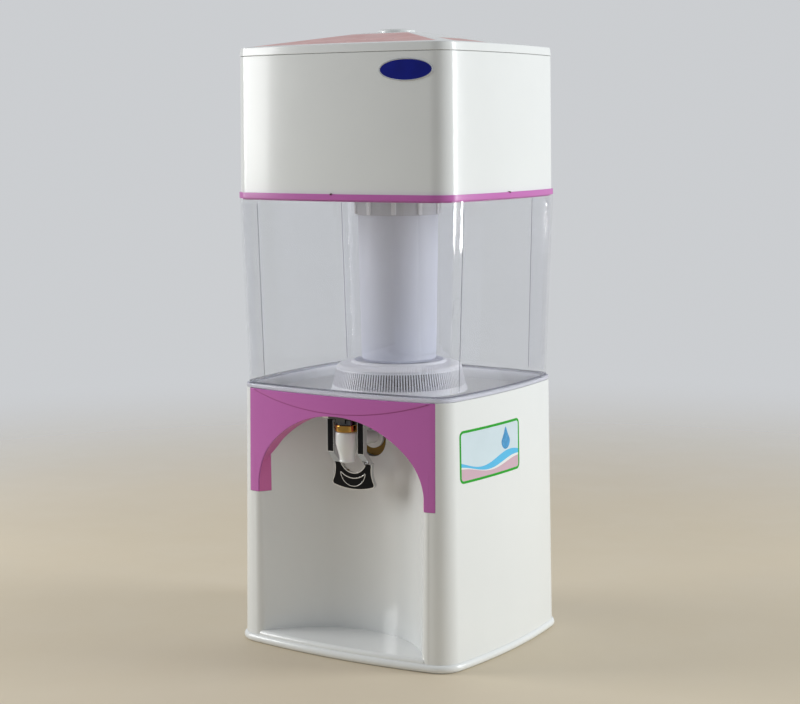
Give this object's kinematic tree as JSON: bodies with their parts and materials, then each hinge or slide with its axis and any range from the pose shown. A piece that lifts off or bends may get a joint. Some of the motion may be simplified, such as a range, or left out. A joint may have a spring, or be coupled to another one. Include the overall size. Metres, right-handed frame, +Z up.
{
  "type": "countertop gravity water filter",
  "caption": "Tall two-tank gravity water filter on a white stand: clear lower tank with hanging filter cartridge, pink arch over a cup alcove with push tap, white upper tank and lift-off lid.",
  "frame": {"origin": "bottom centre of the foot, on the worktop", "axes": "+Z up, -Y towards the front with the tap, +X to the right seen from the front"},
  "size_m": [0.3046, 0.2754, 0.6902],
  "materials": {
    "white_gloss": "gloss",
    "pink_gloss": "gloss",
    "clear_plastic": "clear",
    "chrome_plate": "polished",
    "gold_plate": "polished",
    "black_gloss": "gloss",
    "silicone": "matt",
    "steel": "brushed",
    "white_matt": "matt",
    "blue_matt": "matt",
    "ceramic_white": "matt",
    "resin": "granular",
    "carbon": "granular",
    "felt": "felt",
    "mineral": "matt"
  },
  "bodies": {
    "stand": {"stand_shell": "white_gloss", "base_tray": "white_gloss", "base_screws": "steel", "arch_panel": "pink_gloss"},
    "tank": {"clear_tank": "clear_plastic", "outlet_elbow": "white_matt", "outlet_washer": "silicone", "outlet_nut": "white_matt", "shank_collar": "white_gloss", "shank_seal": "silicone", "tap_body": "white_gloss", "tap_ring": "gold_plate", "tap_bonnet": "chrome_plate", "lever_pin": "steel", "tap_spring": "steel", "stone_case": "white_matt", "case_cover": "white_matt", "mineral_stones": "mineral"},
    "upper": {"pink_band": "pink_gloss", "upper_tank": "white_gloss", "cartridge_seal": "silicone", "cartridge_collar": "white_matt", "cartridge_cup": "white_matt", "resin_bed": "resin", "carbon_bed": "carbon", "filter_pads": "felt", "dome_base": "blue_matt", "ceramic_dome": "ceramic_white"},
    "lid": {"lid_shell": "white_gloss", "lid_cap": "white_gloss"},
    "lever": {"lever_frame": "chrome_plate", "arm_inlays": "black_gloss", "paddle_inlay": "black_gloss", "paddle_trim": "chrome_plate"},
    "stem": {"tap_stem": "steel", "valve_seal": "silicone"}
  },
  "joints": [
    {"name": "tank_lift", "type": "slide", "parent": "stand", "child": "tank", "axis": [0, 0, 1], "range_m": [0, 0.13]},
    {"name": "upper_lift", "type": "slide", "parent": "tank", "child": "upper", "axis": [0, 0, 1], "range_m": [0, 0.21]},
    {"name": "lid_lift", "type": "slide", "parent": "upper", "child": "lid", "axis": [0, 0, 1], "range_m": [0, 0.08]},
    {"name": "lever_hinge", "type": "hinge", "parent": "tank", "child": "lever", "pos_m": [0, -0.116, 0.268], "axis": [1, 0, 0], "range_deg": [0, 18], "stiffness_Nm_per_rad": 0.6, "springref_deg": -6.88},
    {"name": "stem_slide", "type": "slide", "parent": "tank", "child": "stem", "axis": [0, 0, 1], "range_m": [0, 0.00285], "deforming": ["tap_spring"]}
  ],
  "couplings": [
    {"joint": "stem_slide", "follows": "lever_hinge", "m_per_rad": 0.009}
  ]
}
